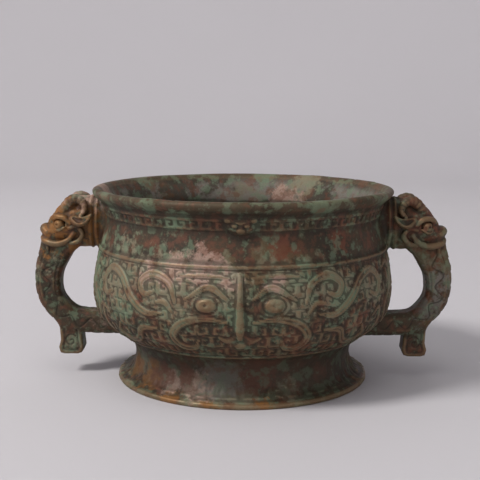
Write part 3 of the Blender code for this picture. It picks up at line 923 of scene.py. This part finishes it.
def patch_mask(shader, place, finish, cloud):
    """1 in the middle of each of a finish's patches, with an outline that the cloud breaks up."""
    middles = [(on_wall(degrees, height), size) for degrees, height, size in WALL_PATCHES.get(finish, ())]
    middles += [((out * MM, 0.0, (height + DATUM) * MM), size)
                for out, height, size in HANDLE_PATCHES.get(finish, ())]
    mask = None
    for middle, size in middles:
        away = shader.add("ShaderNodeVectorMath", {"operation": "DISTANCE"}, {0: place, 1: middle}, "Value")
        one = 1 - away * (1 / (size * MM))
        mask = one if mask is None else shader.math("MAXIMUM", mask, one)
    return shader.mask(mask + (cloud - 0.5) * PATCH_RAGGED, 0.05, 0.5)


def bronze_patina(settings):
    """The patina of the whole casting: brown metal under crusts of green, olive, buff and rust."""
    material = bpy.data.materials.get("aged_bronze") or bpy.data.materials.new("aged_bronze")
    material.use_nodes = True
    shader = Shader(material.node_tree)
    place = shader.add("ShaderNodeTexCoord", {}, {}, "Object")
    standing, crusted, indoors = (
        shader.add("ShaderNodeAttribute", {"attribute_name": name}, {}, "Fac")
        for name in ("standing_out", "crusted", "indoors"))
    up = shader.add("ShaderNodeSeparateXYZ", {}, {"Vector": place}, "Z") * (1 / MM)
    broad = shader.cloud(place, 30.0, seed=1.0)
    blotchy = shader.cloud(place, 9.0, detail=5.0, rough=0.62, seed=2.0)
    speckled = shader.cloud(place, 2.2, detail=4.0, rough=0.65, seed=3.0)
    fine = shader.cloud(place, 0.7, detail=2.0, seed=4.0)

    def colour(finish):
        return (*getattr(settings, finish), 1.0)

    def coated(under, share, finish):
        return shader.mix(share, under, colour(finish))

    def patches(finish, seed):
        cloud = shader.cloud(place, PATCH_LUMPS, detail=5.0, rough=0.68, seed=seed)
        return patch_mask(shader, place, finish, cloud)

    # Bare metal, then the crust that lies on it
    base = coated(colour("brown"), shader.mask(broad, 0.38, 0.62), "umber")
    base = coated(base, shader.mask(blotchy, 0.5, 0.66) * 0.6, "rust")
    crust = coated(colour("olive"), shader.mask(blotchy, 0.35, 0.6), "earth")
    crusting = shader.mask(crusted + (speckled - 0.5) * 1.6, 0.25, 0.75)
    base = shader.mix(crusting * 0.75, base, crust)

    # Dust in the bowl, painted shade on the lip, the patches and painted shade under the belly
    base = coated(base, indoors * shader.mask(blotchy, 0.25, 0.55) * 0.85, "dust_and_painted_light")
    # Painted shade: the lip and all above it is darkened by height, outside the bowl
    lip = shader.mask(up, *PAINTED_LIP_SHADE) * (1 - indoors)
    base = coated(base, lip * 0.65, "umber")
    spread = {finish: patches(finish, float(seed)) for seed, finish in enumerate(PATCH_STRENGTH, 11)}
    for finish, strength in PATCH_STRENGTH.items():
        base = coated(base, spread[finish] * strength, finish)
    # Painted shade on the downward-facing underside of the belly, fading out towards the waist
    painted_underside_shade = shader.mask(up, *PAINTED_UNDERSIDE_SHADE) * shader.mask(up, *UNDERSIDE_SHADE_FADE)
    base = coated(base, painted_underside_shade * 0.4, "umber")

    # Mottling and specks, which leave the ochre cleaner
    tinge = shader.cloud(place, 6.0, detail=3.0, rough=0.6, seed=5.0)
    base = coated(base, shader.mask(tinge, 0.52, 0.62) * (0.5 - spread["ochre"] * 0.42), "verdigris")
    base = coated(base, shader.mask(tinge, 0.48, 0.37) * 0.5, "rust")
    specks = shader.mask(speckled, 0.6, 0.7) * shader.mask(broad, 0.42, 0.58) * (1 - spread["ochre"])
    base = coated(base, specks * 0.5, "verdigris")

    # Dark dirt and painted shade in the hollows, worn metal on the ridges, and a fine grain over all of it
    hollow = shader.mask(standing + (speckled - 0.5) * 0.16, 0.02, -0.22)
    base = coated(base, hollow * 0.6, "shadow")
    worn = shader.mask(standing + (blotchy - 0.5) * 0.5, 0.16, 0.42) * (1 - crusting * 0.6) * (1 - lip * 0.7)
    base = coated(base, worn * (0.55 - spread["ochre"] * 0.3), "metal")
    grey = shader.mix(fine, (0.25, 0.25, 0.25, 1), (0.75, 0.75, 0.75, 1))
    base = shader.mix(0.35, base, grey, "OVERLAY")

    rough = 0.6 + crusting * 0.25 + (speckled - 0.5) * 0.3 - worn * 0.14 + indoors * 0.2
    height = speckled * 0.6 + fine * 0.25 + blotchy * 0.5
    bump = shader.add("ShaderNodeBump", {}, {"Strength": 0.55, "Distance": 0.5 * MM, "Height": height})
    inputs = {"Base Color": base, "Roughness": rough, "Metallic": 0.08 + worn * 0.3, "Normal": bump,
              "Specular IOR Level": 0.28}
    surface = shader.add("ShaderNodeBsdfPrincipled", {}, inputs)
    shader.add("ShaderNodeOutputMaterial", {}, {"Surface": surface})
    return material


def paper_sweep(settings):
    """The matt backdrop paper."""
    material = bpy.data.materials.new("backdrop_paper")
    material.use_nodes = True
    shader = Shader(material.node_tree)
    place = shader.add("ShaderNodeTexCoord", {}, {}, "Object")
    cloud = shader.cloud(place, 300.0, seed=5.0)
    tone = (*settings.paper, 1.0)
    deeper = (*(0.97 * level for level in settings.paper), 1.0)
    surface = shader.add("ShaderNodeBsdfPrincipled", {}, {
        "Base Color": shader.mix(cloud, tone, deeper), "Roughness": 0.9, "Specular IOR Level": 0.2})
    shader.add("ShaderNodeOutputMaterial", {}, {"Surface": surface})
    return material


# Stage


def build_cove(settings):
    """A round floor that curves up into a backdrop on all sides of the censer."""
    arc = [(COVE_FLOOR + COVE_BEND * math.sin(a), COVE_BEND - COVE_BEND * math.cos(a))
           for a in np.linspace(0, math.pi / 2, 25)]
    line = [(300.0, 0.0), (800.0, 0.0), *arc, (COVE_FLOOR + COVE_BEND, COVE_HEIGHT)]
    turns = np.linspace(0, 2 * math.pi, COVE_SIDES, endpoint=False)
    points = [(radius * math.sin(a), -radius * math.cos(a), level) for radius, level in line for a in turns]
    rings = np.arange(len(points)).reshape(len(line), COVE_SIDES)
    faces = [face for inner, outer in zip(rings, rings[1:]) for face in joined(inner, outer)]
    cove = mesh_object("backdrop", points, [rings[0].tolist(), *faces], paper_sweep(settings))


def add_lamp(name, azimuth, elevation, distance, size, power, colour, aim):
    """A round area light at a distance from the place that it points at."""
    data = bpy.data.lights.new(name, "AREA")
    data.shape = "DISK"
    data.size = size
    data.energy = power
    data.color = colour
    lamp = bpy.data.objects.new(name, data)
    turned = Matrix.Rotation(azimuth, 4, "Z") @ Matrix.Rotation(math.pi / 2 - elevation, 4, "X")
    lamp.matrix_world = Matrix.Translation(aim) @ turned @ Matrix.Translation((0.0, 0.0, distance))
    bpy.context.scene.collection.objects.link(lamp)


def add_camera(settings):
    """The camera, a little above the lip and turned slightly off the front."""
    data = bpy.data.cameras.new("camera")
    data.lens = settings.lens
    camera = bpy.data.objects.new("camera", data)
    place = Matrix.Translation((-settings.side_step, -settings.distance, settings.height))
    tilt = Matrix.Rotation(math.pi / 2 - settings.pitch, 4, "X") @ Matrix.Rotation(settings.roll, 4, "Z")
    camera.matrix_world = Matrix.Rotation(settings.turn, 4, "Z") @ place @ tilt
    bpy.context.scene.collection.objects.link(camera)
    bpy.context.scene.camera = camera


def add_world(settings):
    """Even grey light from all round."""
    world = bpy.data.worlds.new("studio")
    world.use_nodes = True
    background = world.node_tree.nodes["Background"]
    background.inputs["Color"].default_value = (1.0, 0.985, 1.0, 1.0)
    background.inputs["Strength"].default_value = settings.room_light
    bpy.context.scene.world = world
    bpy.context.scene.view_settings.view_transform = "Standard"


# Settings, operators and panel


def tint(name, description, default):
    """A colour that the user can change."""
    return FloatVectorProperty(name=name, description=description, default=default, min=0.0, max=1.0,
                               size=3, subtype="COLOR")


def size(name, description, default, **limits):
    """A length that the user can change."""
    return FloatProperty(name=name, description=description, default=default, unit="LENGTH", precision=5,
                         **limits)


def angle(name, description, degrees):
    """An angle that the user can change."""
    return FloatProperty(name=name, description=description, default=math.radians(degrees), subtype="ANGLE")


def watts(name, description, default):
    """A lamp's power that the user can change."""
    return FloatProperty(name=name, description=description, default=default, min=0.0, unit="POWER")


class CenserVessel(bpy.types.PropertyGroup):
    """Fineness and depth of the vessel's relief."""

    columns: IntProperty(name="Points round", description="Points round the belly, a multiple of 72",
                         default=648, min=72, max=1440)
    pitch: size("Row spacing", "Distance between rows of points on the belly", 0.8 * MM, min=0.3 * MM)
    ground_depth: size("Ground depth", "Depth of the ground of squared spirals", 0.55 * MM, min=0.0)
    spiral_turns: FloatProperty(name="Spiral turns", description="How many times each spiral winds",
                                default=1.15, min=0.5, max=3.0)


class CenserHandles(bpy.types.PropertyGroup):
    """Fineness of the handles and depth of their lines."""

    pitch: size("Grid spacing", "Distance between points of the handles' surface", 0.6 * MM, min=0.3 * MM)
    line_depth: size("Line depth", "Depth of the lines cut into the loops and tabs", 0.5 * MM, min=0.0)


class CenserPatina(bpy.types.PropertyGroup):
    """Colours and height of the crusts."""

    seed: IntProperty(name="Seed", description="Chooses another spread of crust and pits", default=5, min=0)
    crust_height: size("Crust height", "How far the crusts stand out", 0.3 * MM, min=0.0)
    brown: tint("Brown", "Dark brown bronze", (0.070, 0.047, 0.026))
    umber: tint("Umber", "Blacker bronze", (0.041, 0.032, 0.020))
    rust: tint("Rust", "Red-brown oxide", (0.150, 0.054, 0.030))
    ochre: tint("Ochre", "Orange-brown oxide", (0.245, 0.108, 0.030))
    olive: tint("Olive", "Olive-grey crust", (0.215, 0.200, 0.132))
    earth: tint("Earth", "Brown earth in the crust", (0.120, 0.087, 0.047))
    verdigris: tint("Verdigris", "Green copper crust", (0.148, 0.210, 0.132))
    buff: tint("Buff", "Pale pinkish crust", (0.400, 0.272, 0.215))
    dust_and_painted_light: tint("Dust", "Pale dust inside the bowl", (0.195, 0.182, 0.158))
    # The recess colour is dark dirt and painted shade in the hollows
    shadow: tint("Recess", "Dirt in the recesses", (0.022, 0.016, 0.010))
    metal: tint("Metal", "Worn bronze on the ridges", (0.235, 0.158, 0.085))


class CenserStage(bpy.types.PropertyGroup):
    """Backdrop, lights and camera."""

    paper: tint("Paper", "Backdrop paper", (0.600, 0.588, 0.616))
    light_colour: tint("Light", "Colour of the lamps", (1.0, 0.972, 0.942))
    key_power: watts("Key power", "Power of the main light", 53.0)
    key_azimuth: angle("Key direction", "Main light's angle round from the front", -61)
    key_elevation: angle("Key elevation", "Main light's angle above the floor", 46)
    key_size: size("Key size", "Width of the main light", 0.7, min=0.01)
    top_power: watts("Top power", "Power of the soft top light", 4.0)
    fill_power: watts("Fill power", "Power of the weak light from the front right", 2.2)
    wash_power: watts("Wash power", "Power of the backdrop's own light", 2.8)
    room_light: FloatProperty(name="Room light", description="Strength of the even light", default=0.21,
                              min=0.0)
    distance: size("Camera distance", "From the censer's axis", 0.585, min=0.1)
    height: size("Camera height", "Above the floor", 0.170)
    side_step: size("Camera side step", "To the left of the censer's axis", 1.7 * MM)
    turn: angle("Camera turn", "Angle round from the front towards the right", 1.0)
    pitch: angle("Camera pitch", "Angle looked down by", 8.72)
    roll: angle("Camera roll", "Turn about the line of sight", 0.25)
    lens: FloatProperty(name="Lens", description="Focal length", default=75.13, min=10.0, unit="CAMERA")


class CENSER_OT_vessel(bpy.types.Operator):
    """Build the vessel with its relief"""

    bl_idname = "censer.vessel"
    bl_label = "Vessel"

    def execute(self, context):
        scene = context.scene
        material = bronze_patina(scene.censer_patina)
        stand_for_censer(build_vessel(scene.censer_vessel, scene.censer_patina, material))
        return {"FINISHED"}


class CENSER_OT_handles(bpy.types.Operator):
    """Build both beast-head handles"""

    bl_idname = "censer.handles"
    bl_label = "Handles"

    def execute(self, context):
        scene = context.scene
        material = bronze_patina(scene.censer_patina)
        shape = handle_mesh(scene.censer_handles)
        for name, side in (("right_handle", 1.0), ("left_handle", -1.0)):
            stand_for_censer(build_handle(name, side, shape, scene.censer_patina, material))
        return {"FINISHED"}


class CENSER_OT_stage(bpy.types.Operator):
    """Set up the backdrop, lights and camera"""

    bl_idname = "censer.stage"
    bl_label = "Stage"

    def execute(self, context):
        settings = context.scene.censer_stage
        colour = settings.light_colour
        build_cove(settings)
        add_lamp("key", settings.key_azimuth, settings.key_elevation, KEY_DISTANCE, settings.key_size,
                 settings.key_power, colour, CENSER_MIDDLE)
        for name, (azimuth, elevation, distance, width, aim) in SOFT_LAMPS.items():
            power = getattr(settings, name + "_power")
            add_lamp(name, math.radians(azimuth), math.radians(elevation), distance, width, power, colour,
                     aim)
        add_world(settings)
        add_camera(settings)
        return {"FINISHED"}


SETTINGS = {
    "censer_vessel": CenserVessel,
    "censer_handles": CenserHandles,
    "censer_patina": CenserPatina,
    "censer_stage": CenserStage,
}
OPERATORS = (CENSER_OT_vessel, CENSER_OT_handles, CENSER_OT_stage)


class CENSER_PT_tools(bpy.types.Panel):
    """The censer's settings and the buttons that build it"""

    bl_idname = "CENSER_PT_tools"
    bl_label = "Archaic Bronze Censer"
    bl_space_type = "VIEW_3D"
    bl_region_type = "UI"
    bl_category = "Censer"

    def draw(self, context):
        for name, group in SETTINGS.items():
            box = self.layout.box()
            for setting in group.__annotations__:
                box.prop(getattr(context.scene, name), setting)
        for operator in OPERATORS:
            self.layout.operator(operator.bl_idname)


CLASSES = (*SETTINGS.values(), *OPERATORS, CENSER_PT_tools)


def register():
    """Adds the classes and the scene's settings."""
    for made in CLASSES:
        bpy.utils.register_class(made)
    for name, group in SETTINGS.items():
        setattr(bpy.types.Scene, name, PointerProperty(type=group))


def unregister():
    """Takes the settings and classes away again."""
    for name in SETTINGS:
        delattr(bpy.types.Scene, name)
    for made in reversed(CLASSES):
        bpy.utils.unregister_class(made)


def main():
    """Builds everything in order."""
    register()
    clear_default_scene()
    bpy.ops.censer.vessel()
    bpy.ops.censer.handles()
    bpy.ops.censer.stage()
    bpy.context.view_layer.update()


if __name__ == "__main__":
    main()
